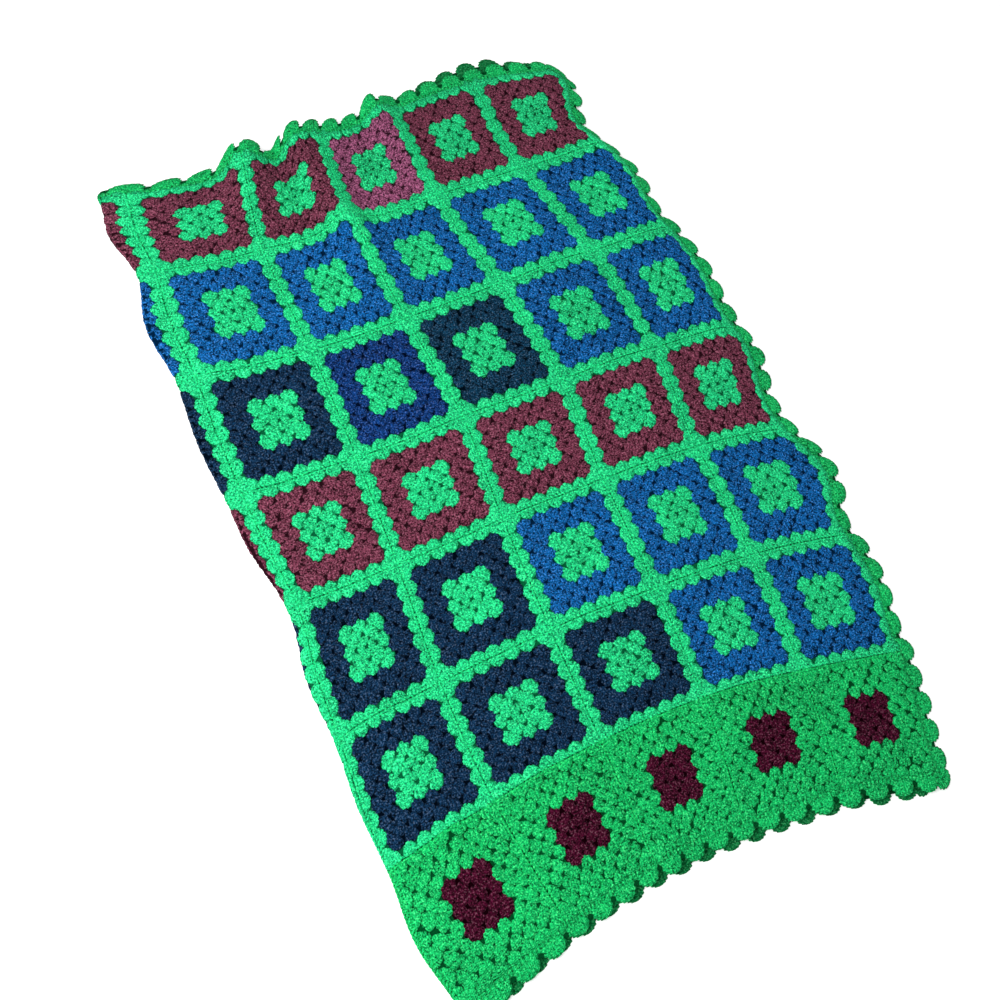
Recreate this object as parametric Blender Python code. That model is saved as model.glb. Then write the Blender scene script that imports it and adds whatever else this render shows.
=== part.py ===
"""Granny square blanket: ten by seven crocheted squares joined into one sheet with a shell
edging all round, folded once in half along its length and laid on a flat surface.

The sheet is modelled flat and then laid in its fold. Flat places are (across, down): metres
from the seam beside the fold, and from the far edge of the squares. Squares right of that seam
face up. Those left of it are turned under. Laid places are X to the right, Y away and Z up."""

import bmesh
import bpy
import numpy as np

# The flat blanket
COLUMNS = 10
ROWS = 7
SQUARE_WIDTH = 0.156
SQUARE_LENGTH = 0.172
SHEET_THICKNESS = 0.004
HALF = COLUMNS // 2

# The corner spaces of the rounds, cut through: one in each quarter of a square
SPACE_SIZE = 0.0055
SPACE_FROM_CENTRE = 0.033

# The shell edging
SHELLS_ACROSS = 37
SHELLS_DOWN = 31
SHELL_DEPTH = 0.024
SHELL_VALLEY = 0.007
SHELL_STEPS = (0.0, 0.2, 0.5, 0.8)
SHELL_ROUNDNESS = 0.7
CLEARANCE = 0.0007
BEND_CLEARANCE = 0.002

# The fold
LAYER_RISE = 0.007
FOLD_RADIUS = LAYER_RISE / 2
HALF_BEND = np.pi / 2 * FOLD_RADIUS
LOWER_HEIGHT = SHEET_THICKNESS / 2
NORMAL_STEP = 0.0004

# Where each seam between two rows lies, from the far edge of the squares to the near one, in mm.
# fold and turned: the X of the outer side of the fold, and how much of the next column it shows.
# last: the X of the last lengthwise seam. y0 to y5: the Y of the seam at lengthwise seams 0, 1,
# 2.5, 4 and 5. x1 to x4: how far it is pulled right there.
SEAM_COLUMNS = ("fold", "turned", "last", "y0", "y1", "y2_5", "y4", "y5", "x1", "x2_5", "x4")
SEAMS = (
    (-33, 28, 714, -33, -46, -21, 4, -20, 45, 17, 8),
    (-22, 24, 729, -166, -182, -180, -171, -176, 14, 4, 4),
    (-27, 24, 762, -346, -358, -352, -344, -352, 15, 10, 18),
    (-25, 24, 776, -532, -535, -528, -527, -540, 7, 19, 21),
    (-4, 18, 771, -704, -699, -690, -692, -716, -11, 3, 9),
    (-12, 9, 774, -886, -868, -860, -870, -896, -9, 6, 7),
    (-11, 3, 759, -1058, -1034, -1020, -1044, -1076, 0, 11, 5),
    (6, 1, 718, -1226, -1197, -1181, -1208, -1240, 18, 5, 4),
)

# How many rows past the first and last seam the edging takes the curves through the seams
ROWS_PAST_END = 0.3

# How far the squares at the fold bulge past the line between the seams' notches, row by row
BULGES = (0.012, 0.014, 0.004, 0.006, 0.009, 0.003, 0.009)
BULGE_REACH = 0.02

# How far the last column of squares lies out of the line of the last seam, row by row: its bulge in
# the middle of the row, and its sway, out in the row's far half and in in its near half
SIDE_BULGES = (-0.018, 0.004, 0.005, -0.005, 0.022, 0.006, 0.0)
SIDE_SWAYS = (0.009, 0.007, 0.004, 0.008, 0.007, 0.004, 0.0)
SIDE_REACH = 0.08

# The folds of the upper layer in mm: a ridge runs from one point to the next and fades across
# itself, at its own rate to the left and to the right. A negative height is a trough. Ridges lean
# to the far side, by a share of their height.
# Columns: x0, y0, height0, x1, y1, height1, left, right
RIDGES = (
    (-14, 20, 6, -18, -110, 2, 24, 34),
    (187, 20, 56, 170, -150, 4, 30, 36),
    (226, 30, -20, 236, -60, -4, 12, 12),
    (252, 20, 38, 288, -190, 16, 24, 34),
    (300, 20, 29, 300, -80, 4, 30, 50),
    (292, -190, 14, 318, -320, 2, 40, 24),
    (403, 20, 26, 430, -140, 6, 22, 24),
    (18, -240, 5, 8, -1150, 5, 14, 30),
    (735, -60, 14, 748, -640, 7, 60, 26),
    (60, -900, 8, 80, -1090, 9, 40, 26),
    (210, -1060, 7, 300, -1190, 8, 50, 50),
    (500, -1080, 6, 640, -1190, 8, 70, 50),
    (330, -520, 4, 350, -900, 5, 60, 60),
    (560, -250, 5, 600, -620, 4, 60, 60),
    (120, -400, 4, 90, -640, 4, 50, 50),
)
RIDGE_END = 0.045
RIDGE_LEAN = 0.3

# The columns of the upper layer whose folds and curled edge need more lines, and how far these lie
# from a square's middle
RIDGE_LINES = {0: (0.057,), 1: (0.016, 0.057), 2: (0.016, 0.057), 4: (0.057,)}

# The lower layer: how far it shows past the upper one at the near edge and, in one place, at the
# far edge, how far it stays back elsewhere, and the share of the length that this takes
NEAR_PEEK = 0.006
NEAR_PEEK_LOSS = 0.001
FAR_PEEK = 0.019
FAR_PEEK_PLACE = 0.83
FAR_PEEK_WIDTH = 0.16
FAR_TUCK = 0.006
RIGHT_TUCK = 0.030
PEEK_REACH = 0.07
PEEK_SHARE = 0.25

# The upper layer's right edge comes down to the lower level from this far inside the last seam
EDGE_DROP_START = 0.014
EDGE_DROP = 0.040

SHEET_GREEN = (0.02, 0.45, 0.16)
EDGING_GREEN = (0.02, 0.5, 0.18)
YARN_ROUGHNESS = 0.85

# The middle of the laid blanket's box, from the far end of the seam beside the fold
MIDDLE = (0.3902, -0.6063)


def column(table, names, name):
    return np.array([row[names.index(name)] for row in table]) / 1000


def along_rows(values, down):
    """The smooth curve through one value for each seam between rows, straight past its ends."""
    values = np.concatenate([[2 * values[0] - values[1]], values, [2 * values[-1] - values[-2]]])
    place = np.clip(down / SQUARE_LENGTH, -ROWS_PAST_END, ROWS + ROWS_PAST_END)
    first = np.clip(np.floor(place).astype(int), 0, ROWS - 1)
    t = place - first
    before, here, there, after = (values[first + step] for step in range(4))
    return here + 0.5 * t * (
        there - before
        + t * (2 * before - 5 * here + 4 * there - after + t * (3 * (here - there) + after - before))
    )


def seam(name, down):
    return along_rows(column(SEAMS, SEAM_COLUMNS, name), down)


def across_seams(place, values):
    """The smooth curve through the values at lengthwise seams 0, 1, 2.5, 4 and 5, for a point that
    lies place (0 to 1) of the way from the first of them to the last."""
    knots = (0, 0.2, 0.5, 0.8, 1)
    result = np.zeros_like(place)
    for knot, value in zip(knots, values, strict=True):
        weight = value
        for other in knots:
            if other != knot:
                weight = weight * (place - other) / (knot - other)
        result += weight
    return result


def row_places(down):
    """The row that a place lies in, and how far down it, from 0 to 1."""
    row = np.clip(np.floor(down / SQUARE_LENGTH).astype(int), 0, ROWS - 1)
    return row, np.clip(down / SQUARE_LENGTH - row, 0, 1)


def fold_bulge(down):
    row, share = row_places(down)
    return np.array(BULGES)[row] * np.sin(np.pi * share) ** 2


def side_shift(down):
    """How far right of its line the last column's outer side lies."""
    row, share = row_places(down)
    bulge = np.array(SIDE_BULGES)[row] * np.sin(np.pi * share) ** 2
    return bulge + np.array(SIDE_SWAYS)[row] * np.sin(2 * np.pi * share)


def ridge_height(x, y):
    """The rise of the upper layer's folds above its flat level."""
    total = np.zeros_like(x)
    for row in RIDGES:
        x0, y0, h0, x1, y1, h1, left, right = (value / 1000 for value in row)
        length = np.hypot(x1 - x0, y1 - y0)
        along = ((x - x0) * (x1 - x0) + (y - y0) * (y1 - y0)) / length
        aside = ((x - x0) * (y1 - y0) - (y - y0) * (x1 - x0)) / length
        width = np.where(aside > 0, left, right)
        past = np.maximum(np.maximum(-along, along - length), 0) / RIDGE_END
        height = h0 + (h1 - h0) * np.clip(along / length, 0, 1)
        total += height * np.exp(-((aside / width) ** 2) - past**2)
    return total


def smooth_step(t):
    t = np.clip(t, 0, 1)
    return t * t * (3 - 2 * t)


def lay_middle(across, down):
    """The laid place of points of the flat blanket's middle surface."""
    from_fold = across + seam("turned", down)
    flat_run = np.abs(from_fold) - HALF_BEND
    turn = np.clip(from_fold / FOLD_RADIUS, -np.pi / 2, np.pi / 2)
    run = FOLD_RADIUS * (1 - np.cos(turn)) + np.maximum(flat_run, 0)
    upper = smooth_step(0.5 + from_fold / (2 * HALF_BEND))

    fold = seam("fold", down)
    last = seam("last", down)
    half_run = HALF * SQUARE_WIDTH - HALF_BEND + FOLD_RADIUS
    upper_stretch = (last - fold) / (half_run + seam("turned", down))
    lower_stretch = (last - RIGHT_TUCK - fold) / (half_run - seam("turned", down))
    stretch = np.where(from_fold > 0, upper_stretch, lower_stretch)
    x = fold - fold_bulge(down) * np.exp(-run / BULGE_REACH) + run * stretch
    to_side = last - np.where(from_fold > 0, 0, RIGHT_TUCK) - x
    shift = side_shift(down) * np.exp(-np.maximum(to_side, 0) / SIDE_REACH)

    place = x / last
    y = across_seams(place, [seam(name, down) for name in ("y0", "y1", "y2_5", "y4", "y5")])
    across_upper = np.clip((x - fold) / (last - fold), 0, 1)
    pulled = across_seams(across_upper, [0, *(seam(name, down) for name in ("x1", "x2_5", "x4")), 0])
    x += np.where(from_fold > 0, pulled, 0) + shift
    share = down / (ROWS * SQUARE_LENGTH)
    shown = np.exp(-(((place - FAR_PEEK_PLACE) / FAR_PEEK_WIDTH) ** 2))
    far = (FAR_PEEK * shown - FAR_TUCK * (1 - shown)) * smooth_step(1 - share / PEEK_SHARE)
    near = (NEAR_PEEK_LOSS * place - NEAR_PEEK) * smooth_step(1 - (1 - share) / PEEK_SHARE)
    y += np.where(from_fold < 0, smooth_step(run / PEEK_REACH), 0) * (far + near)

    drop = 1 - smooth_step((across - HALF * SQUARE_WIDTH + EDGE_DROP_START) / EDGE_DROP)
    rise = LAYER_RISE * (0.5 + 0.5 * np.sin(turn)) * np.where(from_fold > 0, drop, 1)
    ridge = upper * drop * ridge_height(x, y)
    y += RIDGE_LEAN * ridge
    return np.stack([x - MIDDLE[0], y - MIDDLE[1], LOWER_HEIGHT + rise + ridge], axis=-1)


def lay(across, down, height):
    """The laid place of points at a height over the flat blanket's middle surface."""
    along_x = lay_middle(across + NORMAL_STEP, down) - lay_middle(across - NORMAL_STEP, down)
    along_y = lay_middle(across, down - NORMAL_STEP) - lay_middle(across, down + NORMAL_STEP)
    normal = np.cross(along_x, along_y)
    normal /= np.linalg.norm(normal, axis=-1, keepdims=True)
    return lay_middle(across, down) + normal * height[:, None]


def space_sides():
    """How far from a square's middle lines its corner spaces begin and end."""
    return SPACE_FROM_CENTRE - SPACE_SIZE / 2, SPACE_FROM_CENTRE + SPACE_SIZE / 2


def lines_down():
    """The cross lines of the sheet: seams, both sides of each corner space, and middles."""
    near, far = space_sides()
    steps = (-SQUARE_LENGTH / 2, -far, -near, 0, near, far)
    lines = [(row + 0.5) * SQUARE_LENGTH + step for row in range(ROWS) for step in steps]
    return lines + [ROWS * SQUARE_LENGTH]


def lines_across(down):
    """The lengthwise lines of the sheet where they cross the line down. The seam beside the fold
    gives way to lines along the fold, so that the sheet bends round and not in a corner. The
    lower layer lies flat and has fewer of them."""
    near, far = space_sides()
    fold = -float(seam("turned", np.array(down)))
    lines = []
    for square in range(-HALF, HALF):
        middle = (square + 0.5) * SQUARE_WIDTH
        if square == 0:
            lines += [fold + step * HALF_BEND for step in (-1, -0.5, 0, 0.5, 1)]
        else:
            lines.append(square * SQUARE_WIDTH)
        lines += [middle - far, middle - near]
        if square >= 0:
            lines.append(middle)
        lines += [middle + near, middle + far]
        for step in RIDGE_LINES.get(square, ()):
            lines += [middle - step, middle + step]
    return sorted(lines) + [HALF * SQUARE_WIDTH]


def is_space(across, down):
    """Whether a flat point lies in one of the corner spaces."""
    aside = abs(across % SQUARE_WIDTH - SQUARE_WIDTH / 2)
    along = abs(down % SQUARE_LENGTH - SQUARE_LENGTH / 2)
    return max(abs(aside - SPACE_FROM_CENTRE), abs(along - SPACE_FROM_CENTRE)) < SPACE_SIZE / 2


def yarn(name, colour):
    material = bpy.data.materials.new(name)
    material.use_nodes = True
    shader = material.node_tree.nodes["Principled BSDF"]
    shader.inputs["Base Color"].default_value = (*colour, 1)
    shader.inputs["Roughness"].default_value = YARN_ROUGHNESS
    shader.inputs["Metallic"].default_value = 0.0
    return material


def laid_sheet(name, bm, colour):
    """The laid object of a flat mesh, which is first given the sheet's thickness."""
    bmesh.ops.translate(bm, verts=bm.verts, vec=(0, 0, -SHEET_THICKNESS / 2))
    raised = bmesh.ops.extrude_face_region(bm, geom=bm.faces[:])["geom"]
    tops = [item for item in raised if isinstance(item, bmesh.types.BMVert)]
    bmesh.ops.translate(bm, verts=tops, vec=(0, 0, SHEET_THICKNESS))
    bmesh.ops.recalc_face_normals(bm, faces=bm.faces)
    flat = np.array([vert.co for vert in bm.verts])
    for vert, place in zip(bm.verts, lay(flat[:, 0], -flat[:, 1], flat[:, 2]), strict=True):
        vert.co = place
    mesh = bpy.data.meshes.new(name)
    bm.to_mesh(mesh)
    bm.free()
    mesh.materials.append(yarn(name, colour))
    mesh.shade_smooth()
    mesh.set_sharp_from_angle(angle=np.pi / 4)
    obj = bpy.data.objects.new(name, mesh)
    bpy.context.scene.collection.objects.link(obj)
    return obj


def joined_squares():
    """The sheet of squares, with its corner spaces cut through."""
    downs = lines_down()
    flat = [(across, -down, 0) for down in downs for across in lines_across(down)]
    bm = bmesh.new()
    cells = len(flat) // len(downs) - 1
    bmesh.ops.create_grid(bm, x_segments=cells, y_segments=len(downs) - 1, size=1)
    for vert, place in zip(bm.verts, flat, strict=True):
        vert.co = place
    middles = [(face, face.calc_center_median()) for face in bm.faces]
    spaces = [face for face, middle in middles if is_space(middle.x, -middle.y)]
    bmesh.ops.delete(bm, geom=spaces, context="FACES_ONLY")
    return laid_sheet("joined_squares", bm, SHEET_GREEN)


def sides():
    """The sheet's four sides, each as its first corner, its direction, its length, the way out,
    its number of shells, and how far along it the sheet's own lines come."""
    half, length = HALF * SQUARE_WIDTH, ROWS * SQUARE_LENGTH
    far = [line + half for line in lines_across(0)]
    near = [half - line for line in reversed(lines_across(length))]
    return (
        ((-half, 0), (1, 0), 2 * half, (0, 1), SHELLS_ACROSS, far),
        ((half, 0), (0, -1), length, (1, 0), SHELLS_DOWN, lines_down()),
        ((half, -length), (-1, 0), 2 * half, (0, -1), SHELLS_ACROSS, near),
        ((-half, -length), (0, 1), length, (-1, 0), SHELLS_DOWN, lines_down()),
    )


def shell_depth(step):
    """How far the edging reaches at a place from 0 to 1 across one shell."""
    return SHELL_VALLEY + (SHELL_DEPTH - SHELL_VALLEY) * np.sin(np.pi * (step % 1)) ** SHELL_ROUNDNESS


def outer_stations(length, shells, lines):
    """Places along one side, with the edging's depth there: shells, and the lines at the fold,
    which lie closer together than the others."""
    places = [(shell + step) / shells * length for shell in range(shells) for step in SHELL_STEPS]
    gaps = [after - line for line, after in zip(lines, lines[1:], strict=False)]
    bends = [line for line, gap in zip(lines, gaps, strict=False) if gap < FOLD_RADIUS]
    bends += [line + HALF_BEND / 2 for line in bends[-1:]]
    places = [place for place in places if all(abs(place - bend) > BEND_CLEARANCE for bend in bends)]
    return [(place, shell_depth(place / length * shells)) for place in sorted(places + bends)]


def shell_edging():
    """The ring of shells: one mesh between the sheet's edge and a scalloped outline."""
    bm = bmesh.new()
    inner, outer = [], []
    for start, (corner, way, length, out, shells, lines) in enumerate(sides()):
        corner, way, out = (np.array(pair, float) for pair in (corner, way, out))
        for place in lines[1:-1]:
            flat = corner + way * place + out * CLEARANCE
            inner.append((start + place / length, bm.verts.new((*flat, 0))))
        for place, depth in outer_stations(length, shells, lines):
            flat = corner + way * place + out * (CLEARANCE + depth)
            outer.append((start + place / length, bm.verts.new((*flat, 0))))
        end = corner + way * length
        flat = end + (out + way) * CLEARANCE
        inner.append((start + 1.0, bm.verts.new((*flat, 0))))
        for step in SHELL_STEPS:
            turn = np.pi / 2 * step
            flat = end + (out * np.cos(turn) + way * np.sin(turn)) * (CLEARANCE + shell_depth(step))
            outer.append((start + 1.0, bm.verts.new((*flat, 0))))
    zip_loops(bm, inner, outer)
    return laid_sheet("shell_edging", bm, EDGING_GREEN)


def zip_loops(bm, inner, outer):
    """Fills between two closed loops of (place, vertex) with triangles, in the order of their places."""
    once_round = len(sides())
    inner = inner + [(inner[0][0] + once_round, inner[0][1])]
    outer = outer + [(outer[0][0] + once_round, outer[0][1])]
    i = o = 0
    while (i, o) != (len(inner) - 1, len(outer) - 1):
        here = (inner[i][1], outer[o][1])
        if o == len(outer) - 1 or (i < len(inner) - 1 and inner[i + 1][0] <= outer[o + 1][0]):
            i += 1
            bm.faces.new((*here, inner[i][1]))
        else:
            o += 1
            bm.faces.new((*here, outer[o][1]))


def remove_everything():
    for obj in list(bpy.data.objects):
        bpy.data.objects.remove(obj)


def main():
    remove_everything()
    joined_squares()
    shell_edging()


main()
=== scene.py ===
"""The looks of a granny square blanket, crocheted from single yarn posts and laid in its fold.

Every stitch is made flat, in places (across, -down): metres from the seam beside the fold and
from the far edge of the squares. The laying functions then take it to where the cloth lies."""

import bmesh
import bpy
import numpy as np
from mathutils import Matrix, Vector


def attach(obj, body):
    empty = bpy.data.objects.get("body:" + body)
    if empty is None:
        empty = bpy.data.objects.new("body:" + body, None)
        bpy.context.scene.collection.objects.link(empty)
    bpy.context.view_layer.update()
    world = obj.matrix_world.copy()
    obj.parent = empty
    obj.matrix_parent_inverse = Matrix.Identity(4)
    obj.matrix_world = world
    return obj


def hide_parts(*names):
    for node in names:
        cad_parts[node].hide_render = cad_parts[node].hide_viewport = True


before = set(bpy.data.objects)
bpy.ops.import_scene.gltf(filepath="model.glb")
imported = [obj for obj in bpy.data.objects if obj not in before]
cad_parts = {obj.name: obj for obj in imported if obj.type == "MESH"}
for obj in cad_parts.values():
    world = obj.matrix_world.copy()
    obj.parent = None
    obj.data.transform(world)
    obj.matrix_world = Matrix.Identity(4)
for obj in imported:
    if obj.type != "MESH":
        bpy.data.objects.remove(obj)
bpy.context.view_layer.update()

bl_info = {
    "name": "Granny Square Blanket",
    "version": (1, 0, 0),
    "blender": (4, 5, 0),
    "location": "3D View > Sidebar > Blanket",
    "description": "Crochets a granny square blanket with a shell edging and lays it in its fold",
    "category": "Object",
}

# ---------------------------------------------------------------- the flat blanket, as in its solids
COLUMNS = 10
ROWS = 7
HALF = COLUMNS // 2
SQUARE_WIDTH = 0.156
SQUARE_LENGTH = 0.172
SPACE_SIZE = 0.0055
SPACE_FROM_CENTRE = 0.033
SHELLS_ACROSS = 37
SHELLS_DOWN = 31
SHELL_DEPTH = 0.024

# The fold
LAYER_RISE = 0.007
FOLD_RADIUS = LAYER_RISE / 2
HALF_BEND = np.pi / 2 * FOLD_RADIUS
LOWER_HEIGHT = 0.002
NORMAL_STEP = 0.0004

# Where each seam between two rows lies, from the far edge of the squares to the near one, in mm.
# fold and turned: the X of the outer side of the fold, and how much of the next column it shows.
# last: the X of the last lengthwise seam. y0 to y5: the Y of the seam at lengthwise seams 0, 1,
# 2.5, 4 and 5. x1 to x4: how far it is pulled right there.
SEAM_COLUMNS = ("fold", "turned", "last", "y0", "y1", "y2_5", "y4", "y5", "x1", "x2_5", "x4")
SEAMS = (
    (-33, 28, 714, -33, -46, -21, 4, -20, 45, 17, 8),
    (-22, 24, 729, -166, -182, -180, -171, -176, 14, 4, 4),
    (-27, 24, 762, -346, -358, -352, -344, -352, 15, 10, 18),
    (-25, 24, 776, -532, -535, -528, -527, -540, 7, 19, 21),
    (-4, 18, 771, -704, -699, -690, -692, -716, -11, 3, 9),
    (-12, 9, 774, -886, -868, -860, -870, -896, -9, 6, 7),
    (-11, 3, 759, -1058, -1034, -1020, -1044, -1076, 0, 11, 5),
    (6, 1, 718, -1246, -1208, -1186, -1208, -1242, 18, 5, 4),
)

# How many rows past the first and last seam the edging takes the curves through the seams
ROWS_PAST_END = 0.3

# How far the squares at the fold bulge past the line between the seams' notches, row by row
BULGES = (0.012, 0.014, 0.004, 0.006, 0.009, 0.003, 0.009)
BULGE_REACH = 0.02

# How far the last column of squares lies out of the line of the last seam, row by row: its bulge in
# the middle of the row, and its sway, outwards in the row's far half and inwards in its near half
SIDE_BULGES = (-0.012, 0.004, 0.005, -0.005, 0.022, 0.006, 0.0)
SIDE_SWAYS = (0.009, 0.007, 0.004, 0.008, 0.007, 0.004, 0.0)
SIDE_REACH = 0.08

# The folds of the upper layer in mm: a ridge runs from one point to the next and fades across
# itself, at its own rate to the left and to the right. A negative height is a trough. Ridges lean
# to the far side, by a share of their height.
# Columns: x0, y0, height0, x1, y1, height1, left, right
RIDGES = (
    (-14, 20, 6, -18, -110, 2, 24, 34),
    (187, 20, 56, 170, -150, 4, 30, 36),
    (226, 30, -20, 236, -60, -4, 12, 12),
    (252, 20, 38, 288, -190, 16, 24, 34),
    (300, 20, 29, 300, -80, 4, 30, 50),
    (292, -190, 14, 318, -320, 2, 40, 24),
    (403, 20, 26, 430, -140, 6, 22, 24),
    (18, -240, 5, 8, -1150, 5, 14, 30),
    (735, -60, 14, 748, -640, 7, 60, 26),
    (60, -900, 8, 80, -1090, 9, 40, 26),
    (210, -1060, 7, 300, -1190, 8, 50, 50),
    (500, -1080, 6, 640, -1190, 8, 70, 50),
    (330, -520, 4, 350, -900, 5, 60, 60),
    (560, -250, 5, 600, -620, 4, 60, 60),
    (120, -400, 4, 90, -640, 4, 50, 50),
)
RIDGE_END = 0.045
RIDGE_LEAN = 0.3

# The lower layer: how far it shows past the upper one at the near edge and, in one place, at the
# far edge, how far it stays back elsewhere, and the share of the length that this takes
NEAR_PEEK = 0.006
NEAR_PEEK_LOSS = 0.001
FAR_PEEK = 0.019
FAR_PEEK_PLACE = 0.83
FAR_PEEK_WIDTH = 0.16
FAR_TUCK = 0.006
RIGHT_TUCK = 0.030
PEEK_REACH = 0.07
PEEK_SHARE = 0.25

# The upper layer's right edge comes down to the lower level, from this far inside the last seam and
# over this width
EDGE_DROP_START = 0.014
EDGE_DROP = 0.040

# How far the fold turns in towards the blanket over the depth of the far edge's shells
FOLD_TUCK = 0.014

# The middle of the laid blanket's box, from the far end of the seam beside the fold
MIDDLE = (0.3902, -0.6063)

# ---------------------------------------------------------------- the squares
ROUNDS = 7
CENTRE_ROUNDS = 3
RING_ROUNDS = 6
NOMINAL_SQUARE = 0.160
CENTRE_HOLE = 0.002
SEAM_ALLOWANCE = 0.0008
ROUND_HEIGHT = (NOMINAL_SQUARE / 2 - CENTRE_HOLE - SEAM_ALLOWANCE) / ROUNDS

# A cluster is worked over this width and height and then stretched to its place. The four of the
# first round are narrowed by a share of their own.
CLUSTER_WIDTH = 0.0218
CLUSTER_HEIGHT = 0.0152
FIRST_ROUND_WIDTH = 0.92
CORNER_REACH = 0.985
FOOT_DIP = 0.0052
BORDER_FOOT_DIP = 0.0030
CORNER_FOOT_DIP = 0.0032
CORNER_FOOT_IN = 0.0018
CORNER_GAP = 0.004
BORDER_CORNER_GAP = 0.002

# The three posts of a cluster, in mm: where each one's foot and head are, and how proud it lies
# Columns: foot_x, foot_y, head_x, head_y, lift
CLUSTER_POSTS = (
    (-3.4, 1.8, -6.9, 14.0, 0.0),
    (0.0, 0.0, 0.1, 16.2, 0.2),
    (3.4, 1.7, 7.0, 14.2, 0.05),
)
BORDER_POSTS = (
    (-3.3, 2.4, -7.7, 15.0, 0.1),
    (0.0, 0.0, 0.0, 15.0, 0.3),
    (3.3, 2.3, 7.8, 15.0, 0.15),
)
# The rings of a post from foot to head: the share of its length, and in mm its half sizes and how
# far it is moved aside and up
# Columns: share, wide, thick, lean, lift
POST_RINGS = (
    (0.00, 2.4, 1.2, 0.0, 0.5),
    (0.17, 3.7, 2.0, -0.3, 0.4),
    (0.80, 4.6, 2.0, 0.2, 0.1),
    (1.00, 3.2, 1.2, 0.6, -0.1),
)
BORDER_RINGS = (
    (0.00, 2.6, 1.4, 0.0, 0.8),
    (0.18, 4.0, 2.0, -0.2, 0.7),
    (0.55, 5.8, 2.0, 0.1, 0.4),
    (1.00, 6.4, 1.9, 0.2, 0.3),
)
PLAIN_RINGS = ((0.00, 1.8, 1.2, 0.0, 0.3), (0.50, 3.2, 2.2, 0.0, 0.2), (1.00, 2.6, 1.4, 0.0, -0.1))
POST_SIDES = 6
PLAIN_SIDES = 3

# The depth over which a stitch goes from the painted shade between stitches to its full dye
PAINTED_SHADE_DEPTH = 0.004

# Hand tension: how far a cluster strays in place, in turn and in size, how far a whole square strays
# in tone, how many patterns the squares that face up share, and the seed of all that strays
STRAY = 0.0007
STRAY_TURN = 0.06
STRAY_SIZE = 0.05
STRAY_TONE = 0.5
SQUARE_PATTERNS = 3
HAND_SEED = 7

# The ground cloth: how far it reaches under the edging, where in a square it has lines of its own,
# the finer lines of its bend in mm, and how near to those no other line comes
GROUND_REACH = 0.0125
GROUND_LINES = (0.015, 0.051)
BEND_LINES = range(-50, 14, 2)
BEND_MARGIN = 0.0015

# The squares that the fold turns under have plain clusters left of this place
TURNED_DETAIL_FROM = 0.018

# What faces down is worked flatter, so that the blanket lies on its stitches
UNDER_RELIEF = 0.62

# ---------------------------------------------------------------- the joins and the edging
CHAIN_PITCH = 0.0058
UNDER_CHAIN_PITCH = 0.0116
CHAIN_FROM_SEAM = 0.0022
CHAIN_LIFT = 1.5
CHAIN_SLANT_STRAY = 0.3
UNDER_CHAIN_FLATNESS = 0.55
CHAIN_RINGS = ((0.0, 1.2, 1.2, -0.4, 0.0), (0.5, 1.9, 1.7, 0.0, 0.2), (1.0, 1.2, 1.2, 0.4, 0.0))
# How much paler the chains are painted than the stitches beside them, in tones: a painted highlight on
# their raised links
CHAIN_PAINTED_HIGHLIGHT = 5
CHAIN_SIDES = 4
CHAIN_OVERLAP = 1.2
CHAIN_SLANT = 0.35

BASE_ROUND = 0.0070
BASE_TUCK = 2.5
BASE_POST_PITCH = 0.0062
BASE_RINGS = (
    (0.00, 3.2, 1.2, 0.0, 0.3),
    (0.25, 3.9, 1.9, -0.2, 0.2),
    (0.75, 4.0, 1.9, 0.2, 0.0),
    (1.00, 3.6, 1.4, 0.3, -0.2),
)
SHELL_RINGS = (
    (0.00, 2.4, 1.2, 0.0, 0.5),
    (0.30, 3.4, 1.9, -0.2, 0.4),
    (0.76, 4.6, 1.9, 0.3, 0.2),
    (1.00, 3.8, 1.1, 0.5, 0.0),
)
EDGING_SIDES = 5
SHELL_POSTS = 9
SHELL_FOOT = 0.0035
SHELL_FOOT_SPREAD = 0.0090
SHELL_FOOT_RISE = 1.0
SHELL_TURN = 1.42
SHELL_FLATNESS = 0.6
SHELL_SPREAD = 0.80
SHELL_NOMINAL = 0.040
SHELL_LIFT = 0.2
# How far the base round's posts at a corner are turned, in radians
CORNER_POST_TURNS = (0.3, 0.8, 1.3)
# The shell of the far side that the fold bends and draws in
BENT_SHELL = 17
BENT_SHELL_DEPTH = 0.5

# ---------------------------------------------------------------- yarns, in the order of their slots
YARNS = (
    "green",
    "leaf_green",
    "maroon",
    "rose",
    "blue",
    "navy",
    "violet",
    "black_navy",
    "dark_maroon",
)
# How strong the flecks of a yarn are, and how much of its dye is left in the painted shade between its
# stitches
YARN_FLECK_AND_PAINTED_SHADE = {"green": (1.0, 0.4), "leaf_green": (1.0, 0.4)}
RING_FLECK_AND_PAINTED_SHADE = (1.5, 0.2)
# How light the painted shade is on the cloth that shows between the stitches, as a share of its dye
PAINTED_SHADE_LIGHT = {"green": 0.06}
RING_PAINTED_SHADE_LIGHT = 0.03
# The yarn of the rings in each row, the column where the blue yarn takes over, and odd squares
ROW_YARNS = ("maroon", "blue", "navy", "maroon", "navy", "navy", "leaf_green")
BLUE_FROM = {2: 3, 4: 2, 5: 3}
ODD_SQUARES = {(2, 0): "rose", (1, 2): "violet", (2, 2): "black_navy"}
TURNED_ROW = 6

# The textures of the yarn: its noises, its two plies, their turns for each mm and the strength of their
# painted shade
FIBRE_SCALE = 330.0
FIBRE_DETAIL = 4.0
FIBRE_ROUGHNESS = 0.8
FUZZ_SCALE = 450.0
DYE_SCALE = 16.0
GROUND_SCALE = 500.0
PLIES_ROUND = 4 * np.pi
PLIES_ALONG = 2.6
PAINTED_PLY_SHADE = 0.25
# How strongly each of them changes the brightness of the dye, the plies' twist as painted shade, and the
# darkest that this may get
FLECK_LIGHT = 3.6
PAINTED_PLY_SHADE_LIGHT = 0.5
TONE_LIGHT = 0.05
DYE_LIGHT = 0.35
PAINTED_SHADE_FLECK = 0.16
DARKEST = 0.05
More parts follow.
